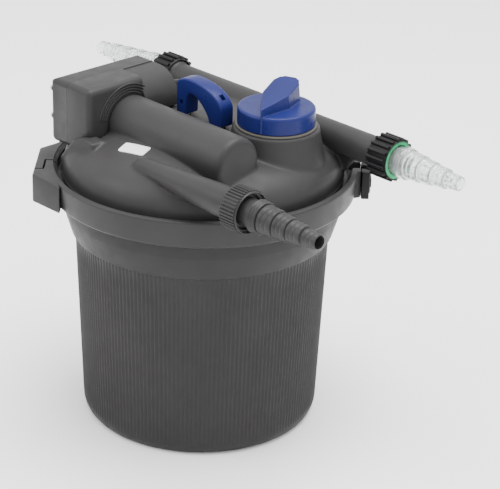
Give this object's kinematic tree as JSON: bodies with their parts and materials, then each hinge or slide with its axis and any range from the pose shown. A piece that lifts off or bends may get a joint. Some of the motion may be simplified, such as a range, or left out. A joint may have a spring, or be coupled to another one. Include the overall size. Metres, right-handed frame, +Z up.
{
  "type": "pressurized pond filter",
  "caption": "Closed pond filter: tapered canister, domed lid held by a hinged clamp ring, UVC unit in a tunnel, foam squeezing handle, valve knob and stepped hose adapters.",
  "frame": {"origin": "middle of the canister's underside, where it stands on the ground", "axes": "+Z up; +X along the lamp tunnel and the pipes, towards the front pipe's hose adapter; +Y towards the rear pipe"},
  "size_m": [0.5945, 0.3544, 0.416],
  "materials": {
    "charcoal_plastic": "fine moulded grain, satin",
    "black_plastic": "smooth moulded black, satin",
    "blue_plastic": "smooth moulded blue, half gloss",
    "clear_plastic": "clear moulded plastic",
    "green_plastic": "smooth moulded green",
    "rubber_seal": "matt black rubber",
    "filter_foam": "open-cell foam",
    "stainless_steel": "drawn stainless steel",
    "plate_white": "blank white plate",
    "lamp_white": "white lamp base and tubes",
    "quartz": "clear quartz tube"
  },
  "bodies": {
    "root": {"canister": "charcoal_plastic", "lid": "charcoal_plastic", "clamp_ring_rear": "charcoal_plastic", "clamp_hinge_block": "black_plastic", "clamp_hinge_pin": "black_plastic", "hose_adapter_front": "black_plastic", "support_ring": "black_plastic", "top_plate": "black_plastic", "hose_adapter_right": "clear_plastic", "hose_adapter_left": "clear_plastic", "insert_ring": "green_plastic", "lid_seal": "rubber_seal", "flat_seal_front": "rubber_seal", "flat_seal_right": "rubber_seal", "flat_seal_left": "rubber_seal", "rod_seal_left": "rubber_seal", "rod_seal_right": "rubber_seal", "shaft_seal": "rubber_seal", "foam_ring_1": "filter_foam", "foam_ring_2": "filter_foam", "foam_ring_3": "filter_foam", "foam_ring_4": "filter_foam", "blank_plate": "plate_white"},
    "clamp_front": {"clamp_ring_front": "charcoal_plastic"},
    "squeeze_unit": {"cleaning_handle": "blue_plastic", "pull_rod_left": "stainless_steel", "pull_rod_right": "stainless_steel", "squeeze_plate": "black_plastic", "squeeze_cage": "black_plastic"},
    "knob_unit": {"rotary_knob": "blue_plastic", "valve_rotor": "black_plastic"},
    "uvc_unit": {"uvc_housing": "charcoal_plastic", "uvc_end_cover": "charcoal_plastic", "ballast": "black_plastic", "lamp_holder": "lamp_white", "uvc_lamp": "lamp_white", "quartz_sleeve": "quartz", "sleeve_seal": "rubber_seal", "sleeve_nut": "black_plastic", "stub_seal": "rubber_seal", "cable_gland": "black_plastic", "cover_screw_1": "stainless_steel", "cover_screw_2": "stainless_steel", "cover_screw_3": "stainless_steel", "cover_screw_4": "stainless_steel"},
    "nut_front": {"union_nut_front": "black_plastic"},
    "nut_right": {"union_nut_right": "black_plastic"},
    "nut_left": {"union_nut_left": "black_plastic"}
  },
  "joints": [
    {"name": "clamp_swing", "type": "hinge", "parent": "root", "child": "clamp_front", "pos_m": [0.13187, 0.13187, 0.29], "axis": [0, 0, 1], "range_deg": [0, 80]},
    {"name": "handle_pull", "type": "slide", "parent": "root", "child": "squeeze_unit", "axis": [0, 0, 1], "range_m": [0, 0.05], "stiffness_N_per_m": 900, "deforming": ["foam_ring_1", "foam_ring_2", "foam_ring_3", "foam_ring_4"]},
    {"name": "knob_turn", "type": "hinge", "parent": "root", "child": "knob_unit", "pos_m": [0.087, 0.028, 0.374], "axis": [0, 0, 1], "range_deg": [0, 90]},
    {"name": "uvc_pull_out", "type": "slide", "parent": "root", "child": "uvc_unit", "axis": [-1, 0, 0], "range_m": [0, 0.18]},
    {"name": "front_nut_turn", "type": "hinge", "parent": "root", "child": "nut_front", "pos_m": [0.18, -0.119, 0.343], "axis": [1, 0, 0], "range_deg": [0, 360]},
    {"name": "right_nut_turn", "type": "hinge", "parent": "root", "child": "nut_right", "pos_m": [0.2, 0.1, 0.346], "axis": [1, 0, 0], "range_deg": [0, 360]},
    {"name": "left_nut_turn", "type": "hinge", "parent": "root", "child": "nut_left", "pos_m": [-0.172, 0.1, 0.346], "axis": [-1, 0, 0], "range_deg": [0, 360]}
  ]
}
